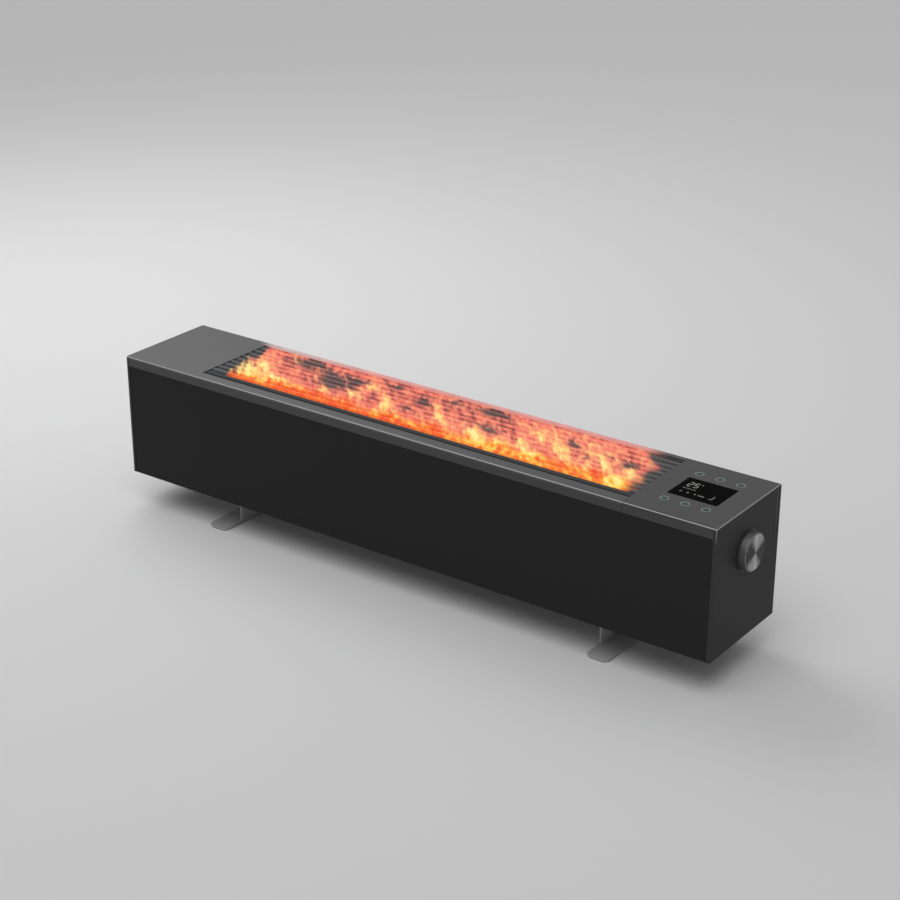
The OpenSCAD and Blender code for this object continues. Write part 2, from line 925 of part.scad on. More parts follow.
module key(i) {
    c = key_proud;
    color([0.25, 0.27, 0.26])
        translate([KEYS[i].x, KEYS[i].y, 0])
            rotate_extrude()
                polygon([
                    [0, z_stem],
                    [key_stem_r, z_stem],
                    [key_stem_r, z_key_flange - key_flange_t],
                    [key_flange_r, z_key_flange - key_flange_t],
                    [key_flange_r, z_key_flange],
                    [key_r, z_key_flange],
                    [key_r, z_key_top - c],
                    [key_r - c, z_key_top],
                    [0, z_key_top]
                ]);
}

module key_rings() {
    color([0.55, 0.75, 0.68])
        for (k = KEYS)
            translate([k.x, k.y, 0])
                rotate_extrude()
                    polygon([
                        [key_r + air, z_ring_bottom],
                        [hole_key_r + ring_lip, z_ring_bottom],
                        [hole_key_r + ring_lip, z_deck],
                        [hole_key_r - seat, z_deck],
                        [hole_key_r - seat, body_h],
                        [key_r + air, body_h]
                    ]);
}

module key_switches() {
    color([0.12, 0.12, 0.12])
        for (k = KEYS)
            translate([k.x, k.y, z_board])
                difference() {
                    translate([-switch_body / 2, -switch_body / 2, 0])
                        cube([switch_body, switch_body, switch_h]);
                    translate([0, 0, switch_floor]) cylinder(r = switch_hole_r, h = switch_h);
                }
}

// Knob and rotary switch

module knob() {
    x_in_face = x_knob_face - knob_face_t;
    color([0.32, 0.32, 0.32])
        turned_on_x(knob_z)
            polygon([
                [shaft_r + shaft_fit, x_hub_back],
                [hub_r, x_hub_back],
                [hub_r, x_in_face],
                [knob_r - knob_wall, x_in_face],
                [knob_r - knob_wall, x_knob_back],
                [knob_r, x_knob_back],
                [knob_r, x_knob_face - knob_edge / 2],
                [knob_r - knob_edge / 2, x_knob_face],
                [cap_r + seat, x_knob_face],
                [cap_r + seat, x_knob_face - cap_seat],
                [0, x_knob_face - cap_seat],
                [0, x_in_face],
                [shaft_r + shaft_fit, x_in_face]
            ]);
}

module knob_cap() {
    color([0.62, 0.62, 0.62])
        turned_on_x(knob_z)
            polygon([
                [0, x_knob_face - cap_seat],
                [cap_r, x_knob_face - cap_seat],
                [cap_r, x_knob - cap_edge],
                [cap_r - cap_edge, x_knob],
                [0, x_knob]
            ]);
}

module knob_shaft() {
    color([0.7, 0.7, 0.7])
        translate([0, 0, knob_z])
            rod_on_x(x_cap - shaft_in, x_knob_face - knob_face_t - shaft_end_gap, shaft_r);
}

module knob_bezel() {
    r0 = knob_r + bezel_gap;
    color([0.25, 0.25, 0.25])
        turned_on_x(knob_z)
            polygon([
                [r0, x_end],
                [r0 + bezel_w, x_end],
                [r0 + bezel_w, x_end + bezel_h - bezel_edge],
                [r0 + bezel_w - bezel_edge, x_end + bezel_h],
                [r0, x_end + bezel_h]
            ]);
}

module rotary_switch() {
    color([0.15, 0.15, 0.16])
        translate([0, 0, knob_z]) {
            difference() {
                union() {
                    rod_on_x(x_cap - switch_l, x_cap, switch_r);
                    rod_on_x(x_cap, x_end + bush_out, bush_r);
                }
                rod_on_x(x_cap - shaft_in - shaft_end_gap, x_end + bush_out + overrun, shaft_r + shaft_fit);
            }
            for (s = [-1, 0, 1])
                translate([0, s * switch_r / 2, 0])
                    rod_on_x(x_cap - switch_l - pin_l, x_cap - switch_l, pin_r);
        }
}

module switch_nut() {
    color([0.75, 0.75, 0.72])
        translate([0, 0, knob_z])
            difference() {
                translate([x_end, 0, 0]) rotate([0, 90, 0]) cylinder(r = nut_r, h = nut_h, $fn = 6);
                rod_on_x(x_end - overrun, x_end + nut_h + overrun, bush_r + seat);
            }
}

// Power bay

module power_board() {
    color([0.07, 0.3, 0.15])
        block([power_x, power_y, z_power], [power_x + power_l, power_y + power_d, z_power + board_t]);
}

module board_standoffs() {
    color([0.85, 0.85, 0.8])
        for (x = [power_x + 2 * standoff_r, power_x + power_l - 2 * standoff_r])
            for (y = [power_y + 2 * standoff_r, power_y + power_d - 2 * standoff_r])
                translate([x, y, z_tray]) cylinder(r = standoff_r, h = standoff_h);
}

function relay_at(i) =
    [power_x + 2 * standoff_r, power_y + power_d / 2 + i * 1.5 * relay_d, z_power + board_t];

module power_relays() {
    color([0.05, 0.2, 0.5])
        for (i = [0, 1]) translate(relay_at(i)) cube([relay_l, relay_d, relay_h]);
}

module power_supply() {
    low = [power_x + power_l - supply_l - standoff_r, power_y + power_d / 3, z_power + board_t];
    can_r = supply_d / 5;
    color([0.75, 0.6, 0.2]) {
        translate(low) cube([supply_l, supply_d, supply_h]);
        for (i = [0, 1])
            translate(low + [can_r + i * 2.5 * can_r, supply_d + 2 * can_r, 0])
                cylinder(r = can_r, h = supply_h);
    }
}

module tilt_switch() {
    color([0.9, 0.9, 0.88])
        translate([power_x + power_l - tilt_size - 4 * standoff_r, power_y + standoff_r, z_power + board_t])
            cube([tilt_size, tilt_size, tilt_h]);
}

module terminal_block() {
    ways = 3;
    way = block_l / ways;
    color([0.88, 0.87, 0.8])
        difference() {
            translate([block_x, block_y - block_d / 2, z_tray]) cube([block_l, block_d, block_h]);
            for (i = [0:ways - 1])
                translate([block_x + (i + 1 / 2) * way, block_y, z_tray]) {
                    translate([0, -block_d, block_h / 3])
                        rotate([-90, 0, 0]) cylinder(r = way / 5, h = 2 * block_d);
                    translate([0, 0, block_h / 3]) cylinder(r = way / 4, h = block_h);
                }
        }
}

module room_sensor() {
    color([0.1, 0.1, 0.1])
        translate([sensor_x, sensor_y, z_tray]) {
            translate([-sensor_base / 2, -sensor_base / 2, 0]) cube([sensor_base, sensor_base, sensor_r]);
            cylinder(r = sensor_r, h = sensor_l);
        }
}

module cord_gland() {
    z0 = panel_t - gland_flange_t;
    color([0.08, 0.08, 0.08])
        translate([gland_x, gland_y, 0])
            rotate_extrude()
                polygon([
                    [gland_bore, z0 - gland_nose],
                    [gland_nose_r - edge_chamfer, z0 - gland_nose],
                    [gland_nose_r, z0],
                    [gland_flange_r, z0],
                    [gland_flange_r, panel_t],
                    [gland_r, panel_t],
                    [gland_r, z_tray],
                    [gland_flange_r - edge_chamfer, z_tray],
                    [gland_flange_r - edge_chamfer, z_tray + gland_nut_h],
                    [gland_r, z_tray + gland_nut_h],
                    [gland_r, z_tray + gland_inside],
                    [gland_bore, z_tray + gland_inside]
                ]);
}

// Wires

module wire_loom() {
    z_in = z_power + board_t;
    start = [power_x + power_l - 3 * standoff_r, power_y + power_d - standoff_r, z_in];
    stop = [x_bulk_right + loom_end_in, window_y + board_depth - board_side, z_board - board_t];
    color([0.1, 0.1, 0.1])
        wire([
            start,
            [start.x, start.y, loom_z],
            [start.x, loom_y, loom_z],
            [stop.x, loom_y, loom_z],
            [stop.x, loom_y, stop.z - loom_z],
            [stop.x, stop.y, stop.z - loom_z],
            stop
        ], loom_r);
}

module element_leads() {
    x_tab = x_bulk_left - tube_out - insulator_l - tab_l;
    color([0.55, 0.1, 0.08])
        for (i = [0, 1]) {
            top = relay_at(i) + [relay_l / 2, relay_d / 2, relay_h];
            tab = [x_tab, tube_y + (2 * i - 1) * tube_half, tube_z];
            wire([top, [top.x, top.y, tube_z], [mix(top, tab, 0.5).x, tab.y, tube_z], tab], wire_r);
        }
}

module flame_lead() {
    x0 = (x_duct_left + x_bulk_right + flame_board_l) / 2;
    top = [x_bulk_right + loom_end_in, flame_mid, z_board - board_t];
    color([0.5, 0.5, 0.45])
        wire([top, [top.x, flame_mid, flame_lead_z], [x0 - led_size, flame_mid, flame_lead_z],
              [x0 - led_size, flame_mid, flame_z + flame_sheet + flame_boss_h + board_t]], wire_r);
}

// Feet and fasteners

module foot_screws_at() {
    both_ends()
        for (s = [-1, 1])
            translate([foot_x + (foot_t + foot_flange_w) / 2, s * foot_screw_y, 0]) children();
}

module foot() {
    color([0.42, 0.42, 0.43])
        difference() {
            union() {
                translate([foot_x, y_front, -foot_drop - foot_t])
                    linear_extrude(foot_t) rounded_plate([foot_w, body_d], foot_corner_r);
                block([foot_x, -foot_web_d / 2, -foot_drop], [foot_x + foot_t, foot_web_d / 2, panel_t]);
                block([foot_x + foot_t, -foot_web_d / 2, panel_t - foot_t],
                      [foot_x + foot_flange_w, foot_web_d / 2, panel_t]);
            }
            foot_screws_at() translate([0, 0, -foot_t]) cylinder(r = foot_hole_r, h = 2 * foot_t);
        }
}

module foot_right() {
    foot();
}

module foot_left() {
    mirror([1, 0, 0]) foot();
}

module foot_pads() {
    color([0.05, 0.05, 0.05])
        both_ends()
            for (s = [-1, 1])
                translate([foot_x + pad_in, s * (body_d / 2 - pad_end - pad_l / 2) - pad_l / 2, -foot_h])
                    linear_extrude(pad_t) rounded_plate([foot_w - 2 * pad_in, pad_l], pad_r);
}

// A pan-head screw under z = 0 with a cross recess, its shank upwards.
module screw(head_r, head_h, r, l) {
    difference() {
        translate([0, 0, -head_h]) cylinder(r = head_r, h = head_h);
        for (a = [0, 90])
            rotate(a)
                translate([-cross_l / 2, -cross_w / 2, -head_h - overrun])
                    cube([cross_l, cross_w, cross_h + overrun]);
    }
    cylinder(r = r, h = l);
}

module foot_screws() {
    color([0.55, 0.55, 0.55])
        foot_screws_at()
            translate([0, 0, panel_t - foot_t]) screw(foot_head_r, foot_head_h, foot_screw_r, foot_screw_l);
}

module foot_nuts() {
    color([0.6, 0.6, 0.6])
        foot_screws_at()
            translate([0, 0, z_tray])
                difference() {
                    cylinder(r = foot_nut_r, h = foot_nut_h, $fn = 6);
                    translate([0, 0, -overrun])
                        cylinder(r = foot_screw_r + shaft_fit, h = foot_nut_h + 2 * overrun);
                }
}

module casing_screws() {
    color([0.2, 0.2, 0.2]) {
        for (y = [y_front + bottom_screw_in, y_rear - bottom_screw_in])
            bottom_screws_at(y) screw(screw_head_r, screw_head_h, screw_r, screw_l);
        both_ends()
            cap_screws_at()
                translate([0, 0, panel_t]) screw(screw_head_r, screw_head_h, screw_r, 2 * screw_l);
    }
}

// Lifts the heater onto the floor and centres its length, knob included.
module stand() {
    translate([-knob_out / 2, 0, foot_h]) children();
}

stand() front_panel();
stand() top_frame();
stand() control_deck();
stand() right_end_cap();
stand() left_end_cap();
stand() rear_cover();
stand() base_tray();
stand() grille();
stand() flame_screen();
stand() flame_light_board();
stand() flame_tray();
stand() tray_spacers();
stand() heat_deflector();
stand() front_heat_shield();
stand() rear_heat_shield();
stand() left_bulkhead();
stand() right_bulkhead();
stand() heating_tube();
stand() element_fins();
stand() element_supports();
stand() element_insulators();
stand() thermal_cutout();
stand() display_window();
stand() display_module();
stand() control_board();
stand() control_posts();
stand() key(0);  // key_1
stand() key(1);  // key_2
stand() key(2);  // key_3
stand() key(3);  // key_4
stand() key(4);  // key_5
stand() key(5);  // key_6
stand() key_rings();
stand() key_switches();
stand() knob();
stand() knob_cap();
stand() knob_shaft();
stand() knob_bezel();
stand() rotary_switch();
stand() switch_nut();
stand() power_board();
stand() power_relays();
stand() power_supply();
stand() board_standoffs();
stand() terminal_block();
stand() tilt_switch();
stand() room_sensor();
stand() cord_gland();
stand() wire_loom();
stand() element_leads();
stand() flame_lead();
stand() foot_left();
stand() foot_right();
stand() foot_pads();
stand() foot_screws();
stand() foot_nuts();
stand() casing_screws();
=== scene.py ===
# %% [markdown]
# # Dressing a skirting convector heater
# The heater is a long, low box of folded steel sheet on two bent feet. Warm air leaves through a slatted
# opening in its top, over a lit picture of flames. The right end of the top holds a small display with six
# keys. The solids come ready made. This lesson gives them their paints, metals and plastics, and adds what
# the solids leave out: the lit figures on the display. Lengths are in metres, and heights are from the floor.

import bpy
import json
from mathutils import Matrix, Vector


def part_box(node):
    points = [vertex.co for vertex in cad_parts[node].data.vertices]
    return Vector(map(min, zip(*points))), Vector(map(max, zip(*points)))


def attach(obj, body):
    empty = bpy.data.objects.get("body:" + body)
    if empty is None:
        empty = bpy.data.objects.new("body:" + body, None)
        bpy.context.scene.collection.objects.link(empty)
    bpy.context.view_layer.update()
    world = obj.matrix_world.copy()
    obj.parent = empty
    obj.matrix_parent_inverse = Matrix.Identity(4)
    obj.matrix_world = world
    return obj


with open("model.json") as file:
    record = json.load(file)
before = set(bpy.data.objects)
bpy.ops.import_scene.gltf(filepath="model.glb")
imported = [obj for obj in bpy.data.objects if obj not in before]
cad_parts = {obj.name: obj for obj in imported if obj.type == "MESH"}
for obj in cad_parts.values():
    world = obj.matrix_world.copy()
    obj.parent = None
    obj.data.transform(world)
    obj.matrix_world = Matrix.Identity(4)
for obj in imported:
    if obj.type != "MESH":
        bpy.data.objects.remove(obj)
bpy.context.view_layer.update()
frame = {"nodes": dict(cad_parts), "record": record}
solids = frame["nodes"]

# %% [markdown]
# ## Where the eye stands
# A long lens from far away keeps the box's edges nearly parallel, as in a catalogue picture. The eye is to
# the right of the front and a little above, so that the front, the top and the right end all show.

# %% Camera
import json
import math
import bpy
from mathutils import Vector

scene = bpy.context.scene
azimuth = math.radians(36.213)
elevation = math.radians(23.651)
towards_eye = Vector((math.sin(azimuth) * math.cos(elevation),
                      -math.cos(azimuth) * math.cos(elevation),
                      math.sin(elevation)))
lens = bpy.data.cameras.new("eye")
lens.sensor_width = 36  # mm, as the next line
lens.lens = 80.12
lens.clip_end = 100
eye = bpy.data.objects.new("eye", lens)
eye.location = (1.528, -2.0466, 1.305)
eye.rotation_mode = "QUATERNION"
eye.rotation_quaternion = (-towards_eye).to_track_quat("-Z", "Y")
scene.collection.objects.link(eye)
scene.camera = eye
scene.view_settings.view_transform = "Standard"
print("eye at", tuple(round(c, 3) for c in eye.location))

# %% [markdown]
# ## Colours as they are seen
# A colour picker shows values that are spaced for the eye, while the render works with amounts of light. This
# helper takes the first kind, from 0 to 255, and gives the second.


# %% Colour helper
def seen(red, green=None, blue=None):
    """The render's colour for one picked on a screen, from 0 to 255. One number is a grey."""
    picked = (red, red if green is None else green, red if blue is None else blue)
    light = [c / 255 / 12.92 if c <= 10 else ((c / 255 + 0.055) / 1.055) ** 2.4 for c in picked]
    return (*light, 1.0)


print("a middle grey of 128 is", round(seen(128)[0], 3), "of the light")

# %% [markdown]
# ## Floor
# The heater stands in a plain pale studio. Its floor is big, pale and matt, with a very weak sheen, so that
# the heater throws a soft shadow on it and no mirror image.

# %% Floor
bpy.ops.object.select_all(action="DESELECT")
bpy.ops.mesh.primitive_plane_add(size=1, location=(0, 0, 0))
floor = bpy.context.object
floor.name = "studio_floor"
floor.scale = (40, 40, 1)
bpy.ops.object.transform_apply(location=True, rotation=True, scale=True)
floor_paint = bpy.data.materials.new("studio_floor")
floor_paint.use_nodes = True
floor_shader = floor_paint.node_tree.nodes["Principled BSDF"]
floor_shader.inputs["Base Color"].default_value = seen(236, 236, 237)
floor_shader.inputs["Roughness"].default_value = 0.85
floor_shader.inputs["Specular IOR Level"].default_value = 0.2
floor.data.materials.append(floor_paint)
print("floor of", floor.dimensions.x, "m")

# %% [markdown]
# ## Lamp and daylight
# One broad lamp above and behind on the left makes the top brighter at its left end. A high sun, made as wide
# as a cloudy patch of sky and called daylight, leans a little to the eye's side. It lights the front and the
# floor softly.


# %% Lamp and daylight
def lamp(name, place, aim, size, power):
    """A broad square lamp at a place, turned to a point."""
    data = bpy.data.lights.new(name, "AREA")
    data.size = size
    data.energy = power
    made = bpy.data.objects.new(name, data)
    made.location = place
    made.rotation_mode = "QUATERNION"
    made.rotation_quaternion = (Vector(place) - Vector(aim)).to_track_quat("Z", "Y")
    scene.collection.objects.link(made)
    return made


key_lamp = lamp("key_lamp", (-1.45, 0.5, 1.7), (-0.4, 0, 0.2), 1.4, 14)
daylight = bpy.data.objects.new("daylight", bpy.data.lights.new("daylight", "SUN"))
daylight.data.energy = 1.0
daylight.data.angle = math.radians(50)
daylight.rotation_mode = "QUATERNION"
daylight.rotation_quaternion = Vector((0.1, -0.45, 1)).to_track_quat("Z", "Y")
scene.collection.objects.link(daylight)
print("lamps:", key_lamp.name, daylight.name)

# %% [markdown]
# ## Backdrop
# The world fills the shadows. What the eye and the reflections see of it is paler than the light that it
# gives, so that the picture has a pale backdrop while the dark paint stays dark.

# %% World
world = bpy.data.worlds.new("studio")
world.use_nodes = True
scene.world = world
sky = world.node_tree
backdrop = sky.nodes["Background"]
paths = sky.nodes.new("ShaderNodeLightPath")
either = sky.nodes.new("ShaderNodeMath")
either.operation = "MAXIMUM"
seen_ray = sky.nodes.new("ShaderNodeMath")
seen_ray.operation = "MAXIMUM"
choose = sky.nodes.new("ShaderNodeMix")
choose.data_type = "RGBA"
sky.links.new(paths.outputs["Is Camera Ray"], either.inputs[0])
sky.links.new(paths.outputs["Is Glossy Ray"], either.inputs[1])
sky.links.new(either.outputs[0], seen_ray.inputs[0])
sky.links.new(paths.outputs["Is Transmission Ray"], seen_ray.inputs[1])
sky.links.new(seen_ray.outputs[0], choose.inputs[0])
colour_a, colour_b, colour_out = 6, 7, 2  # the colour sockets of a Mix node; its factor is socket 0
choose.inputs[colour_a].default_value = seen(138)
choose.inputs[colour_b].default_value = seen(202, 202, 204)
sky.links.new(choose.outputs[colour_out], backdrop.inputs["Color"])
print("backdrop is seen at", round(seen(202)[0], 2), "and lights with", round(seen(138)[0], 2))

# %% [markdown]
# ## Shader maths as plain expressions
# Paint, grain and flames are all patterns worked out from a point's place on the heater. Wiring such sums by
# hand is slow to read, so a small class wraps a socket and lets Python's own operators add the Math nodes.


# %% Wrapped sockets
class Wire:
    """A socket whose number or colour changes over a surface."""

    def __init__(self, finish, socket):
        self.finish = finish
        self.socket = socket

    def maths(self, operation, *others, clamp=False):
        """A Math node with this wire first and the others after it."""
        values = dict(enumerate((self, *others)))
        return self.finish.node("ShaderNodeMath", {"operation": operation, "use_clamp": clamp}, values)

    def __add__(self, other):
        return self.maths("ADD", other)

    __radd__ = __add__

    def __mul__(self, other):
        return self.maths("MULTIPLY", other)

    __rmul__ = __mul__

    def __sub__(self, other):
        return self.maths("SUBTRACT", other)

    def __rsub__(self, other):
        return self.finish.node("ShaderNodeMath", {"operation": "SUBTRACT"}, {0: other, 1: self})

    def __truediv__(self, other):
        return self.maths("DIVIDE", other)

    def __rtruediv__(self, other):
        return self.finish.node("ShaderNodeMath", {"operation": "DIVIDE"}, {0: other, 1: self})

    def __abs__(self):
        return self.maths("ABSOLUTE")


class Finish:
    """One material: its surface, with plain numbers set on the sockets, and the nodes that feed it."""

    def __init__(self, name, colour, roughness, metallic=0.0, specular=0.5, coat=0.0, glow=0.0):
        self.material = bpy.data.materials.new(name)
        self.material.use_nodes = True
        self.tree = self.material.node_tree
        self.surface = self.tree.nodes["Principled BSDF"]
        plain = {"Base Color": colour, "Roughness": roughness, "Metallic": metallic,
                 "Specular IOR Level": specular, "Coat Weight": coat, "Coat Roughness": 0.08,
                 "Emission Strength": glow}
        for socket, value in plain.items():
            self.surface.inputs[socket].default_value = value

    def node(self, kind, settings=None, values=None, out=0):
        """Adds a node: its settings first, then a number, colour or wire for each socket that is named."""
        made = self.tree.nodes.new(kind)
        for setting, value in (settings or {}).items():
            if setting == "stops":
                ramp = made.color_ramp
                while len(ramp.elements) < len(value):
                    ramp.elements.new(0.5)
                for stop, (position, colour) in zip(ramp.elements, value):
                    stop.position = position
                    stop.color = colour
            else:
                setattr(made, setting, value)
        for socket, value in (values or {}).items():
            if isinstance(value, Wire):
                self.tree.links.new(value.socket, made.inputs[socket])
            else:
                made.inputs[socket].default_value = value
        return Wire(self, made.outputs[out])

    def place(self):
        """The point's place on the heater, in metres."""
        return self.node("ShaderNodeTexCoord", out="Object")

    def split(self, vector):
        """The three numbers of a vector, as wires."""
        first = self.node("ShaderNodeSeparateXYZ", values={0: vector})
        return [Wire(self, socket) for socket in first.socket.node.outputs]

    def join(self, x, y, z):
        """A vector of three numbers or wires."""
        return self.node("ShaderNodeCombineXYZ", values={0: x, 1: y, 2: z})

    def noise(self, scale, detail=2.0, rough=0.5, at=None):
        """Cloudy noise from 0 to 1."""
        return self.node("ShaderNodeTexNoise", values={"Vector": at or self.place(), "Scale": scale,
                                                       "Detail": detail, "Roughness": rough})

    def stretched(self, x, y, z):
        """Place with each direction multiplied, so that noise on it becomes streaks."""
        return self.node("ShaderNodeMapping", values={"Vector": self.place(), "Scale": (x, y, z)})

    def blend(self, mask, first, second):
        """The first colour where the mask is 0, the second where it is 1."""
        values = {0: mask, colour_a: first, colour_b: second}
        return self.node("ShaderNodeMix", {"data_type": "RGBA"}, values, colour_out)

    def step(self, value, low, high):
        """0 below low, 1 above high, and smooth between them. With low above high it falls."""
        return self.node("ShaderNodeMapRange", {"interpolation_type": "SMOOTHSTEP"},
                         {"Value": value, "From Min": low, "From Max": high})

    def feed(self, socket, wire):
        """Lets a wire set one of the surface's sockets."""
        self.tree.links.new(wire.socket, self.surface.inputs[socket])

    def glow(self, colour, strength):
        """Light of a varying colour that the surface gives off."""
        self.feed("Emission Color", colour)
        self.surface.inputs["Emission Strength"].default_value = strength

    def bump(self, height, depth, strength=1.0):
        """A height from 0 to 1 as relief of that depth in metres."""
        wire = self.node("ShaderNodeBump", values={"Height": height, "Distance": depth, "Strength": strength})
        self.feed("Normal", wire)


def tinted(colour, factor, lift=0.0):
    """A plain colour made lighter or darker, and never past white."""
    return (*(min(1.0, c * factor + lift) for c in colour[:3]), 1.0)


print("wrapped sockets are ready")

# %% [markdown]
# ## Painted sheet
# Every outer sheet is powder coated. Seen close, such paint has a fine orange-peel skin and its sheen drifts
# slowly from place to place. Some folds and cut edges get a painted highlight. One function makes all the
# paints, and a fold mask with its painted highlight is added only where a sheet has a fold that catches the
# light.


# %% Powder coat
def powder_coat(name, colour, roughness, specular, drift=0.05, grain=1.0):
    """A painted sheet: slow drift of tone, fine speckle, and an orange-peel skin."""
    paint = Finish(name, colour, roughness, specular=specular)
    slow = paint.noise(5, 2)
    fine = paint.noise(700, 2, 0.6)
    tone = paint.step(slow * 0.65 + fine * 0.35, 0.3, 0.7)
    paint.tone = paint.blend(tone, tinted(colour, 1 - drift), tinted(colour, 1 + drift, 0.002))
    paint.feed("Base Color", paint.tone)
    paint.feed("Roughness", (slow - 0.5) * 0.14 + (fine - 0.5) * 0.10 + roughness)
    skin = paint.noise(420, 1, 0.4)
    paint.bump(skin * 0.7 + fine * 0.3, 0.00016 * grain, 0.6)
    return paint


finishes = {}
finishes["dark_sheet"] = powder_coat("front_powder_coat", seen(28, 28, 28), 0.52, 0.18)
finishes["end_paint"] = powder_coat("end_powder_coat", seen(44, 44, 44), 0.52, 0.16)
finishes["rear_sheet"] = powder_coat("rear_powder_coat", seen(34, 34, 34), 0.55, 0.22)
finishes["foot_paint"] = powder_coat("foot_paint", seen(172, 172, 173), 0.42, 0.4)
print("paints:", ", ".join(finishes))

# %% [markdown]
# ## The long front
# The front is painted darker to the left, away from the eye, and a little lighter to the right. This painted
# light gradient is laid over the paint as a slow change along the length, broken up by its grain.

# %% Painted light gradient along the front
front_paint = finishes["dark_sheet"]
along = front_paint.split(front_paint.place())[0]
# painted light: the front's colour goes from darker at the left to lighter at the right
drift = front_paint.blend(front_paint.step(along, -0.62, 0.6), seen(24, 24, 24), seen(34, 34, 34))
grain = front_paint.noise(700, 2, 0.6) * 0.2 + 0.7
front_paint.tone = front_paint.blend(grain, front_paint.tone, drift)
front_paint.feed("Base Color", front_paint.tone)
print("front drifts from left to right")

# %% [markdown]
# ## Edges at the ends
# The end caps stand a little in front of the front sheet. Their narrow front faces are painted lighter, a
# painted highlight that shows as a line, brighter at the top corner. At each end the rear sheet comes round
# the corner as a narrow strip, and its cut edge gets a painted highlight too. Masks from the place on the
# heater draw both.

# %% Edges of the end caps
end_paint = finishes["end_paint"]
cap_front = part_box("right_end_cap")[0].y
casing_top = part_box("top_frame")[1].z
casing_middle = (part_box("left_end_cap")[0].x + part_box("right_end_cap")[1].x) / 2
half_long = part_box("right_end_cap")[1].x - casing_middle
x, y, z = end_paint.split(end_paint.place())
outward = abs(x - casing_middle)
# painted highlight: the caps' narrow front faces are painted lighter than the rest
painted_front_highlight = end_paint.step(y, cap_front + 0.0009, cap_front + 0.0004)
end_paint.tone = end_paint.blend(painted_front_highlight, end_paint.tone, seen(60, 60, 60))
# painted highlight: brighter still at the top corner of the front edge
painted_corner_highlight = painted_front_highlight * end_paint.step(outward, half_long - 0.0016, half_long - 0.001)
painted_corner_highlight = painted_corner_highlight * end_paint.step(z, casing_top - 0.024, casing_top - 0.006)  # fades out down the edge
end_paint.tone = end_paint.blend(painted_corner_highlight * 0.9, end_paint.tone, seen(140, 140, 140))
end_paint.feed("Base Color", end_paint.tone)
cover_paint = finishes["rear_sheet"]
x, y, z = cover_paint.split(cover_paint.place())
return_width = 0.0088
return_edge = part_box("rear_cover")[1].y - return_width
on_end = cover_paint.step(abs(x - casing_middle), half_long - 0.0016, half_long - 0.001)
# painted highlight: the cut edge of the rear sheet's return at each end, brighter towards the top
painted_highlight = on_end * cover_paint.step(y, return_edge + 0.0016, return_edge + 0.0008)
painted_highlight = painted_highlight * (cover_paint.step(z, casing_top - 0.07, casing_top - 0.02) * 0.6 + 0.3)
cover_paint.tone = cover_paint.blend(painted_highlight, cover_paint.tone, seen(112, 112, 112))
cover_paint.feed("Base Color", cover_paint.tone)
print("end caps lie", round(half_long, 4), "m from the middle")

# %% [markdown]
# ## The top
# The top is a sheet in a lighter satin grey, folded down along the front. Its folded-down lip is painted
# darker, a painted shade. The fold gets a thin painted highlight, set where the bend turns every way between
# up and forward and so always catches a lamp. The cut ends get a fainter painted highlight. The control deck
# at the right is the same kind of sheet, painted a little darker as painted shade.


# %% Satin top sheets
front_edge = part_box("top_frame")[0].y
rear_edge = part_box("top_frame")[1].y


def satin_top(name, colour):
    """The satin grey of the top, with a painted shade on its front lip and a painted highlight along its
    front fold and its cut ends.
    """
    paint = powder_coat(name, colour, 0.4, 0.4, 0.035, 0.7)
    x, y, z = paint.split(paint.place())
    # painted shade: the front lip is darker than the top
    painted_shade_lip = paint.step(y, front_edge + 0.001, front_edge)
    painted_shade_lip = painted_shade_lip * paint.step(z, casing_top - 0.003, casing_top - 0.005)
    paint.tone = paint.blend(painted_shade_lip, paint.tone, seen(63, 63, 63))
    # painted highlight: a thin bright line along the front fold, and a fainter one on the cut ends
    fold = paint.step(y, front_edge + 0.002, front_edge + 0.001)
    fold = fold * paint.step(z, casing_top - 0.002, casing_top - 0.001)
    ends = paint.step(abs(x - casing_middle), half_long - 0.0012, half_long - 0.0005)
    ends = ends * paint.step(z, casing_top - 0.0014, casing_top - 0.0007)
    painted_highlight = fold.maths("MAXIMUM", ends * 0.48)
    paint.tone = paint.blend(painted_highlight * 0.9, paint.tone, seen(228, 228, 228))
    paint.feed("Base Color", paint.tone)
    return paint, x, y, z


# the deck's darker grey is painted shade, for the light falling off towards the right
finishes["deck_sheet"] = satin_top("deck_satin_painted_shade", seen(60, 60, 60))[0]
top_paint, top_x, top_y, top_z = satin_top("top_satin", seen(76, 76, 77))
finishes["top_sheet"] = top_paint
print("deck at", round(casing_top, 4), "m")

# %% [markdown]
# ## The flames
# On the real heater the flames are a moving picture, thrown up through the slats by a board of lights. One
# moment of it is drawn here from the point's own place: a hot orange bed along the front edge, yellow tongues
# that rise from it, a thinner salmon haze behind, and gaps where the bare slats show. The tongues and the
# gaps are soft blobs, placed one by one. Each row is a blob's place along the heater, its place back from the
# bed's front edge, its width and its depth, all in millimetres, and then its strength.

# %% Shape of the fire
grille_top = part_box("grille")[1].z
bed_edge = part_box("flame_screen")[0].y
lean = 0.731  # how far the tongues lean along the heater for each step back
tongues = [(-292, 36, 24, 26, 0.62), (-266, 68, 20, 28, 0.6), (-238, 34, 26, 16, 0.55),
           (-196, 30, 14, 10, 0.25), (-150, 50, 15, 20, 0.35), (-92, 52, 14, 24, 0.35),
           (-36, 54, 16, 30, 0.5), (4, 20, 14, 10, 0.4), (56, 54, 16, 30, 0.5), (116, 34, 18, 26, 0.65),
           (154, 26, 15, 18, 0.5), (192, 54, 13, 28, 0.5), (212, 24, 18, 12, 0.5), (262, 54, 15, 30, 0.4),
           (324, 58, 13, 34, 0.45), (340, 24, 14, 24, 0.5), (366, 50, 14, 26, 0.35),
           (-210, 106, 12, 26, 0.3), (-60, 90, 14, 22, 0.25), (234, 84, 14, 24, 0.25)]
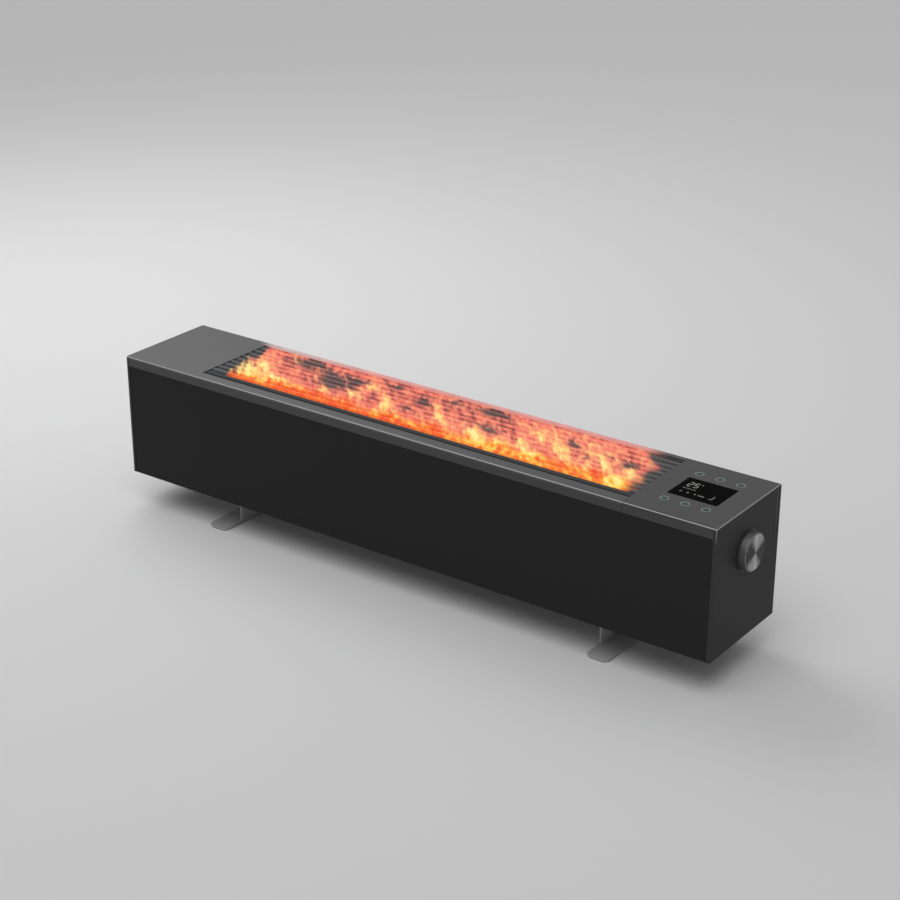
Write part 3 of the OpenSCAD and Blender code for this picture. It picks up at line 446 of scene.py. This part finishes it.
gaps = [(-178, 108, 40, 20, 0.95), (-128, 74, 34, 24, 1.0), (-84, 96, 26, 10, 0.6), (-20, 112, 26, 10, 0.6),
        (30, 90, 20, 18, 0.6), (84, 114, 18, 16, 0.6), (152, 112, 30, 14, 0.9), (140, 66, 24, 16, 0.75),
        (2, 54, 16, 10, 0.5), (282, 90, 14, 16, 0.75), (300, 64, 10, 10, 0.55), (340, 84, 18, 9, 0.5),
        (362, 66, 14, 12, 0.7)]
print(len(tongues), "tongues and", len(gaps), "gaps")

# %% [markdown]
# ## Fire at a point
# Noise that is stretched along the tongues makes them lick, and the same noise pushes the edges about, so
# nothing ends in a straight line but the bed. The blobs and the noise add up to a heat, which two ramps turn
# into colour, one for the haze and one for the bed. The cover says how much of the slat the fire hides.


# %% Picture of the fire
def fire(finish, x, y):
    """Colour, cover, heat and thin places of the fire at a point of the top plane, in millimetres."""
    back = y - bed_edge * 1000
    along = x + lean * back
    lick = finish.noise(1, 3, 0.5, finish.join(along / 24, back / 60, 0.0))
    small = finish.noise(1, 3, 0.55, finish.join(along / 8, back / 16, 4.0))
    sway = finish.noise(1, 2, 0.5, finish.join(along / 30, back / 40, 9.0))
    along = along + (lick - 0.5) * 34 + (small - 0.5) * 12
    back_bent = back + (sway - 0.5) * 40 + (small - 0.5) * 16

    def blob(at, depth, wide, tall):
        """A soft spot, 1 in its middle, that narrows towards the back like the tip of a flame."""
        up = (back_bent - depth) / tall
        pointed = up.maths("MULTIPLY_ADD", 0.45, 1.0).maths("MAXIMUM", 0.6)
        across = (along - at) / wide * pointed
        return 1 / (1 + across * across + up * up).maths("POWER", 2.0)

    def total(spots):
        """All the blobs of a list, each with its strength, added up."""
        first, *others = [blob(*spot) * power for *spot, power in spots]
        return sum(others, first)

    hot = total(tongues)
    bare = total(gaps)
    bed = finish.step(back_bent, 44, 14)
    brighter = finish.step(x, -150, 300) * 0.1
    uneven = (small - 0.5) * (1.2 - bed * 0.25) + (lick - 0.5) * 0.9 + (sway - 0.5) * bed * 0.6
    heat = hot + uneven + 0.34 + brighter + brighter * bed * 0.6
    haze = finish.node("ShaderNodeValToRGB", {"stops": [
        (0.0, seen(190, 88, 88)), (0.2, seen(232, 110, 98)), (0.4, seen(248, 130, 110)),
        (0.55, seen(253, 150, 116)), (0.68, seen(255, 178, 120)), (0.82, seen(255, 212, 126)),
        (1.0, seen(255, 238, 160))]}, {0: heat})
    coals = finish.node("ShaderNodeValToRGB", {"stops": [
        (0.0, seen(228, 66, 34)), (0.25, seen(248, 88, 42)), (0.45, seen(255, 114, 50)),
        (0.6, seen(255, 152, 60)), (0.76, seen(255, 198, 80)), (1.0, seen(255, 238, 140))]}, {0: heat})
    colour = finish.blend(bed, haze, coals)
    left = finish.step(x + back * 0.22 + (lick - 0.5) * 60 + (small - 0.5) * 14, -332, -316)
    beyond = (back - 80).maths("MAXIMUM", 0.0)
    right = finish.step(x + beyond * 0.75 + (sway - 0.5) * 50 + (small - 0.5) * 16, 357, 335)
    front = finish.step(back, -0.5, 1.2)
    body = finish.step(heat * 0.4 + lick * 0.7 + small * 0.7 + bed * 0.8 - bare * 1.25, 0.08, 0.82)
    cover = (body * 0.91 + 0.09) * left * right * front
    thin = finish.step(lick * 0.6 + sway * 0.4, 0.54, 0.42) * finish.step(back, 30, 80)
    return colour, cover, heat, thin


slant_along = 1.349  # millimetres along the heater for each one down, as the eye looks
slant_back = 1.842  # millimetres towards the front for each one down
fade_start = 5.0  # millimetres down, as the next line
fade_end = 9.0


def slanted_fire(finish, x, y, z):
    """The fire on what lies below the slats' tops, moved along for each millimetre down, how far down that
    is, and a fade that ends it lower down."""
    below = (grille_top - z) * 1000
    picture = fire(finish, (x - casing_middle) * 1000 + below * slant_along, y * 1000 - below * slant_back)
    return (*picture, below, finish.step(below, fade_end, fade_start))


print("bed starts at", round(bed_edge * 1000, 1), "mm")

# %% [markdown]
# ## Slats and light screen
# The picture, the fire's light, is painted on the tops of the slats as a glow. A little below the top it
# carries on down the slats' faces, shifted the way a slanting look would shift it, so that the flames don't
# break at every gap. On the faces it is painted dimmer where the fire is cool, as painted shade. Lower down
# it fades, and from straight above the lit screen under the slats shows the same fire. Where the faces hold
# no flame, a little painted stray light keeps them from going black, and their grey is painted a little
# lighter. The top of the first slat, by the front rail, is painted darker as painted shade.

# %% Grille and screen finishes
slats = powder_coat("slat_satin", seen(96, 98, 99), 0.46, 0.12)
x, y, z = slats.split(slats.place())
colour, cover, heat, thin, below, depth_fade = slanted_fire(slats, x, y, z)
face = slats.step(below, 0.1, 0.4)
side = slats.step(below, 0.9, 2.3)
# painted shade: the fire is dimmer on the slats' side faces where it is cool
lit_face = 1 - side * slats.step(heat, 0.8, 0.3) * (thin * 0.34 + 0.18)
reach = cover * lit_face * depth_fade
stray = slats.blend(face, seen(0), slats.blend(side, seen(66, 65, 66), seen(42, 41, 42)))
slats.glow(slats.blend(reach, stray, colour), 1.0)
# painted light: the side faces get a slightly lighter, bluer grey
slats.tone = slats.blend(side, slats.tone, seen(96, 102, 104))
# painted shade: the top of the first slat, by the front rail, is darker
first_slat_shade = slats.step(y, bed_edge + 0.0014, bed_edge)
slats.tone = slats.blend(first_slat_shade, slats.tone, seen(50, 55, 57))
slats.feed("Base Color", slats.blend(cover * depth_fade * 0.9, slats.tone, seen(8)))
finishes["grille_metal"] = slats

screen = Finish("lit_screen", seen(20, 12, 10), 0.35)
x, y = screen.split(screen.place())[:2]
colour, cover = fire(screen, (x - casing_middle) * 1000, y * 1000)[:2]
screen.glow(screen.blend(cover, seen(22, 8, 6), colour), 0.8)
screen.bump(screen.noise(900, 1), 0.0001, 0.4)
finishes["screen_plastic"] = screen
print("fire on", grille_top, "m")

# %% [markdown]
# ## Light on the rear rail
# The flames throw a pink light on the narrow rail behind the slats and on its cut edge. It is paler at the
# left end, and it comes and goes a little along the rail. Only the satin sheet of the left deck and the rails
# has it.

# %% Pink light on the rear rail
glow_line = top_paint.noise(1, 3, 0.6, top_paint.join(top_x * 22, 0.0, 3.0))
on_top = top_paint.step(top_z, casing_top - 0.0006, casing_top - 0.0002)
rail = top_paint.step(top_y, rear_edge - 0.0135, rear_edge - 0.0095)
between = top_paint.step(top_x, -0.385, -0.35) * top_paint.step(top_x, 0.335, 0.29)
left_pink = (0.62, 0.41, 0.39, 1.0)
right_pink = (0.80, 0.29, 0.25, 1.0)
pink_tone = top_paint.blend(top_paint.step(top_x, -0.33, -0.14), left_pink, right_pink)
pink = rail * on_top * between * (glow_line * 0.8 + 0.45)
cut_edge = top_paint.step(abs(top_y - (rear_edge - 0.010)), 0.0005, 0.0002)
cut_edge = cut_edge * (1 - on_top) * between
top_paint.glow(top_paint.blend(pink.maths("MAXIMUM", cut_edge), seen(0), pink_tone), 0.9)
print("rear rail glows")

# %% [markdown]
# ## Bare metals
# Inside, the sheets are zinc plated, which looks cloudy and slightly blue, the tube is stainless steel with
# marks of drawing along its length, and the fins are plain aluminium. All of them are metals, so their colour
# is in the reflection. The rear heat shield stands right behind the slats, so the fire's light is painted on
# its top as a glow too.


# %% Metals
def bare_metal(name, colour, roughness, streaks=(1, 1, 1), streak_scale=60.0):
    """Bare metal: streaks along one direction, with cloudy changes of tone and polish."""
    metal = Finish(name, colour, roughness, metallic=1.0)
    lines = metal.noise(streak_scale, 3, 0.6, metal.stretched(*streaks))
    clouds = metal.noise(38, 3, 0.55)
    metal.tone = metal.blend(lines * 0.5 + clouds * 0.5, tinted(colour, 0.76), colour)
    metal.feed("Base Color", metal.tone)
    metal.feed("Roughness", (lines - 0.5) * 0.18 + (clouds - 0.5) * 0.16 + roughness)
    metal.bump(lines, 0.00004, 0.6)
    return metal


finishes["inner_steel"] = bare_metal("zinc_sheet", seen(186, 190, 193), 0.38, (1, 1, 1), 140.0)
finishes["tube_steel"] = bare_metal("drawn_stainless", seen(176, 172, 168), 0.3, (1, 14, 14))
finishes["fin_aluminium"] = bare_metal("rolled_fin", seen(206, 208, 210), 0.34, (20, 1, 12))
finishes["screw_steel"] = bare_metal("zinc_screw", seen(190, 190, 186), 0.3, (1, 1, 1), 500.0)
finishes["screw_black"] = bare_metal("black_screw", seen(56, 56, 58), 0.42, (1, 1, 1), 500.0)
finishes["bezel_metal"] = bare_metal("bezel_anodised", seen(78, 78, 79), 0.42, (1, 1, 1), 420.0)
lit_zinc = bare_metal("lit_zinc_sheet", seen(186, 190, 193), 0.38, (1, 1, 1), 140.0)
x, y, z = lit_zinc.split(lit_zinc.place())
colour, cover, *_, depth_fade = slanted_fire(lit_zinc, x, y, z)
reach = cover * depth_fade
# painted light: the fire glows on the heat shield's top
lit_zinc.glow(lit_zinc.blend(reach, seen(0), colour), 0.9)
lit_zinc.feed("Base Color", lit_zinc.blend(reach, lit_zinc.tone, seen(8)))
print("metals:", len(finishes))

# %% [markdown]
# ## The turned knob
# The knob's face was faced off in a lathe, which leaves fine rings. Their tilted walls gather the light in
# two fans that meet in the middle. In a pale studio every direction is bright and real rings alone look flat,
# so the fans are painted into the metal's tone as well, as a painted highlight: a soft double wedge, with a
# thin upright streak, that stays on the face.


# %% Knob finishes
knob_middle = (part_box("knob")[0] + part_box("knob")[1]) / 2
fan_tilt = math.radians(16)  # how far the fans lean from upright
soft_middle = 0.000006  # square metres; it keeps the fans from meeting in a hard point
cap_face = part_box("knob_cap")[1].x


def turned(name, colour, dark, roughness, ring, depth, fans=0.0):
    """Metal with rings about the knob's axis, and if wanted a painted highlight of two bright fans."""
    metal = Finish(name, colour, roughness, metallic=1.0)
    x, y, z = metal.split(metal.place())
    sideways = y - knob_middle.y
    upright = z - knob_middle.z
    square = sideways * sideways + upright * upright
    radius = square.maths("SQRT")
    rings = (radius * (2 * math.pi / ring)).maths("SINE") * 0.5 + 0.5
    uneven = metal.noise(1, 2, 0.6, metal.join(radius * 1500, 0.0, 0.0))
    spots = metal.noise(260, 2)
    tone = 0.45 + (uneven - 0.5) * 0.9 + (spots - 0.5) * 0.5
    if fans:
        # painted highlight: two bright fans and an upright streak on the knob's face
        along = sideways * math.sin(fan_tilt) + upright * math.cos(fan_tilt)
        across = sideways * math.cos(fan_tilt) - upright * math.sin(fan_tilt)
        wedge = (along * along - across * across) / (square + soft_middle)
        painted_streak_highlight = metal.step(upright * upright / (square + soft_middle / 3), 0.93, 1.0)
        fan = metal.step(wedge, -0.75, 0.75)
        painted_fan_highlight = fan * (fans + (uneven - 0.5) * 0.5 + (spots - 0.5) * 0.2) + painted_streak_highlight * 0.3 - 0.03
        face = metal.step(x, cap_face - 0.0006, cap_face - 0.0001)
        tone = painted_fan_highlight * face + (1 - face) * 0.4
    metal.feed("Base Color", metal.blend(tone.maths("ADD", 0.0, clamp=True), dark, colour))
    metal.feed("Roughness", (uneven - 0.5) * 0.16 + roughness)
    metal.bump(rings * 0.7 + uneven * 0.3, depth, 1.0)
    return metal


finishes["cap_metal"] = turned("turned_face", seen(200), seen(16), 0.3, 0.0009, 0.00006, 0.6)
finishes["knob_metal"] = turned("knob_anodised", seen(172), seen(112), 0.5, 0.0011, 0.00004)
print("knob turned about", round(knob_middle.y, 4), round(knob_middle.z, 4))

# %% [markdown]
# ## Plastics and rubber
# Moulded plastic has a faint spark-eroded texture and a soft sheen. The display window is polished and nearly
# black. The rings round the keys are lit a faint mint green from below.


# %% Plastics
def moulded(name, colour, roughness, specular=0.5, grain=600.0, depth=0.00006, glow=0.0):
    """Moulded plastic or rubber: an even colour with a fine texture."""
    plastic = Finish(name, colour, roughness, specular=specular, glow=glow)
    fine = plastic.noise(grain, 2, 0.6)
    slow = plastic.noise(26, 2)
    plastic.tone = plastic.blend(fine * 0.5 + slow * 0.5, tinted(colour, 0.9), tinted(colour, 1.1, 0.001))
    plastic.feed("Base Color", plastic.tone)
    plastic.feed("Roughness", (slow - 0.5) * 0.15 + (fine - 0.5) * 0.1 + roughness)
    plastic.bump(fine, depth, 0.5)
    return plastic


finishes["black_plastic"] = moulded("black_moulding", seen(30, 30, 31), 0.5)
window = moulded("window_gloss", seen(7, 7, 7), 0.08, 0.5, 60.0, 0.00001)
window.surface.inputs["IOR"].default_value = 1.04
finishes["window_black"] = window
finishes["ceramic_white"] = moulded("steatite", seen(226, 221, 206), 0.7, 0.4, 900.0, 0.0001)
finishes["key_plastic"] = moulded("key_satin", seen(54, 62, 59), 0.42, 0.3)
finishes["relay_blue"] = moulded("relay_case", seen(36, 92, 168), 0.3)
finishes["supply_amber"] = moulded("wound_tape", seen(196, 160, 66), 0.32, 0.5, 220.0, 0.0001)
finishes["cream_plastic"] = moulded("cream_moulding", seen(220, 215, 200), 0.5)
finishes["pad_rubber"] = moulded("pad_rubber", seen(26, 26, 26), 0.85, 0.25, 420.0, 0.00015)
finishes["wire_black"] = moulded("sleeve_black", seen(28, 28, 29), 0.6, 0.4, 900.0, 0.0002)
finishes["wire_red"] = moulded("lead_red", seen(150, 34, 28), 0.45)
finishes["wire_grey"] = moulded("lead_grey", seen(130, 130, 124), 0.5)
ring = moulded("ring_mint", seen(112, 124, 118), 0.4, 0.3, glow=0.36)
ring.surface.inputs["Emission Color"].default_value = seen(112, 140, 130)
finishes["ring_mint"] = ring
print("plastics:", len(finishes))

# %% [markdown]
# ## Circuit boards
# Boards are glossy lacquer over copper, whose tracks show as lighter lines. Straight lines on a square grid
# are broken up by cells and noise, which reads as tracks that run and stop.


# %% Circuit boards
def lacquered_board(name, ground, track, pitch):
    """A circuit board: lacquer with straight tracks on a square grid, broken up at random."""
    board = Finish(name, ground, 0.3, specular=0.5, coat=0.3)
    x, y = board.split(board.place())[:2]
    cells = board.node("ShaderNodeTexVoronoi", {"feature": "F1", "distance": "CHEBYCHEV"},
                       {"Vector": board.place(), "Scale": 1 / pitch})
    turn = board.noise(1 / pitch / 4, 0)
    spacing = pitch / 5
    line_x = board.step(abs((x / spacing).maths("FRACT") - 0.5), 0.3, 0.4)
    line_y = board.step(abs((y / spacing).maths("FRACT") - 0.5), 0.3, 0.4)
    mask = line_x * board.step(turn, 0.48, 0.52) + line_y * board.step(turn, 0.44, 0.40)
    board.feed("Base Color", board.blend(mask * board.step(cells, 0.15, 0.25) * 0.7, ground, track))
    board.bump(mask, 0.00005, 0.5)
    return board


finishes["circuit_green"] = lacquered_board("board_green", seen(22, 84, 48), seen(60, 136, 78), 0.012)
finishes["light_board"] = lacquered_board("board_white", seen(214, 216, 208), seen(178, 182, 172), 0.02)
print("boards done")

# %% [markdown]
# ## Each solid gets its finish
# The part's record names a finish for every solid. The loop reads it and puts the material made above into
# the solid's own slots.

# %% Assign
used = set()
for row in frame["record"]["subparts"]:
    solid = solids[row["node"]]
    for slot in solid.material_slots:
        slot.material = finishes[row["material_slot"]].material
    used.add(row["material_slot"])
for slot in solids["rear_heat_shield"].material_slots:
    slot.material = lit_zinc.material
print(len(used), "finishes on", len(solids), "solids; not used:", sorted(set(finishes) - used))

# %% [markdown]
# ## Lit figures on the display
# The window shows a set temperature in large thin figures, with a line under it and a row of small signs. On
# the real heater they are lit parts of the panel behind the glass. Here they are thin plates that lie on the
# window, so that they read from every side, and they give off their own light.

# %% Display finish
window_low, window_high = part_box("display_window")
window_top = window_high.z


def lit_sign(name, strength, deep, pale):
    """A sign that gives off its own light, with a faint grain."""
    sign = Finish(name, seen(24, 24, 23), 0.4)
    sign.glow(sign.blend(sign.noise(900, 1), deep, pale), strength)
    return sign


lit = lit_sign("lit_figures", 0.6, seen(206, 208, 198), seen(236, 236, 226))
faint = lit_sign("faint_signs", 0.4, seen(196, 198, 190), seen(226, 226, 216))
print("window top at", round(window_top, 5))

# %% [markdown]
# ## Bars
# Figures and signs alike are short straight bars. Each is a flat box with its edges rounded off, laid just on
# the window. The bars of one kind are then joined into one piece, which stays with the casing.


# %% Bars on the window
bar_height = 0.00004  # metres, as the next line
bar_lift = 0.00003


def plate(name, finish, right, back, length, depth, turn=0.0):
    """A thin lit bar, centred on a point in millimetres from the window's front left corner."""
    bpy.ops.object.select_all(action="DESELECT")
    middle = Vector((window_low.x + right / 1000, window_low.y + back / 1000, window_top))
    bpy.ops.mesh.primitive_cube_add(size=1, location=(0, 0, 0))
    bar = bpy.context.object
    bar.name = name
    bar.scale = (length / 1000, depth / 1000, bar_height)
    bpy.ops.object.transform_apply(location=False, rotation=False, scale=True)
    bpy.ops.object.mode_set(mode="EDIT")
    bpy.ops.mesh.select_all(action="SELECT")
    bpy.ops.mesh.bevel(offset=min(length, depth) / 1000 * 0.3, segments=2, affect="EDGES")
    bpy.ops.object.mode_set(mode="OBJECT")
    bar.rotation_euler = (0, 0, math.radians(turn))
    bar.location = middle + Vector((0, 0, bar_lift))
    bpy.ops.object.transform_apply(location=True, rotation=True, scale=True)
    bar.data.materials.append(finish.material)
    return bar


def joined(name, parts):
    """Several plates as one piece on the casing."""
    bpy.ops.object.select_all(action="DESELECT")
    for part in parts:
        part.select_set(True)
    bpy.context.view_layer.objects.active = parts[0]
    bpy.ops.object.join()
    piece = bpy.context.object
    piece.name = name
    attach(piece, "casing")
    return piece


# %% [markdown]
# ## Figures
# A figure on such a display is made of up to seven bars. Each bar has a place across and up, in figure widths
# and half heights, and a 1 where it lies flat. The sizes are in millimetres.

# %% Figures
SEGMENTS = {"top": (0, 2, 1), "middle": (0, 1, 1), "bottom": (0, 0, 1),
            "upper_left": (-0.5, 1.5, 0), "upper_right": (0.5, 1.5, 0),
            "lower_left": (-0.5, 0.5, 0), "lower_right": (0.5, 0.5, 0)}
FIGURES = {"2": ("top", "upper_right", "middle", "lower_left", "bottom"),
           "5": ("top", "upper_left", "middle", "lower_right", "bottom")}
figure_wide = 5.4
figure_half = 6.2
stroke = 0.62
bar_gap = 0.3
figure_foot = 33.0
bars = []
for at, sign in ((12.6, "2"), (21.2, "5")):
    for name in FIGURES[sign]:
        across, up, flat = SEGMENTS[name]
        size = (figure_wide - bar_gap, stroke) if flat else (stroke, figure_half - bar_gap)
        middle = (at + across * figure_wide, figure_foot + up * figure_half)
        bars.append(plate("figure_bar", lit, *middle, *size))
figures = joined("display_figures", bars)
print(len(bars), "bars in the figures")

# %% [markdown]
# ## Small signs
# Four bars make the degree sign, one is the line under the figures, and the rest are a row of plain marks
# near the front. They are fainter than the figures. Each row below is a bar's place, its length and depth,
# and its turn in degrees where it has one.

# %% Small signs
DEGREE = [(27.4, 43.6, 1.9, 0.35), (27.4, 45.2, 1.9, 0.35), (26.6, 44.4, 0.35, 1.9), (28.2, 44.4, 0.35, 1.9)]
LINE = [(17.8, 25.9, 19.0, 0.55)]
ROW = [(11.2, 14.8, 3.2, 0.6, 55), (12.9, 14.8, 3.2, 0.6, -55), (22.0, 14.8, 3.4, 0.7),
       (22.0, 14.8, 0.7, 3.4), (32.0, 14.8, 1.8, 1.8), (41.0, 14.4, 9.5, 0.9), (54.6, 13.2, 5.0, 0.7),
       (56.8, 18.4, 0.7, 9.5)]
signs = [plate("sign", faint, *row) for row in DEGREE + LINE + ROW]
marks = joined("display_signs", signs)
print("display pieces:", figures.name, marks.name)
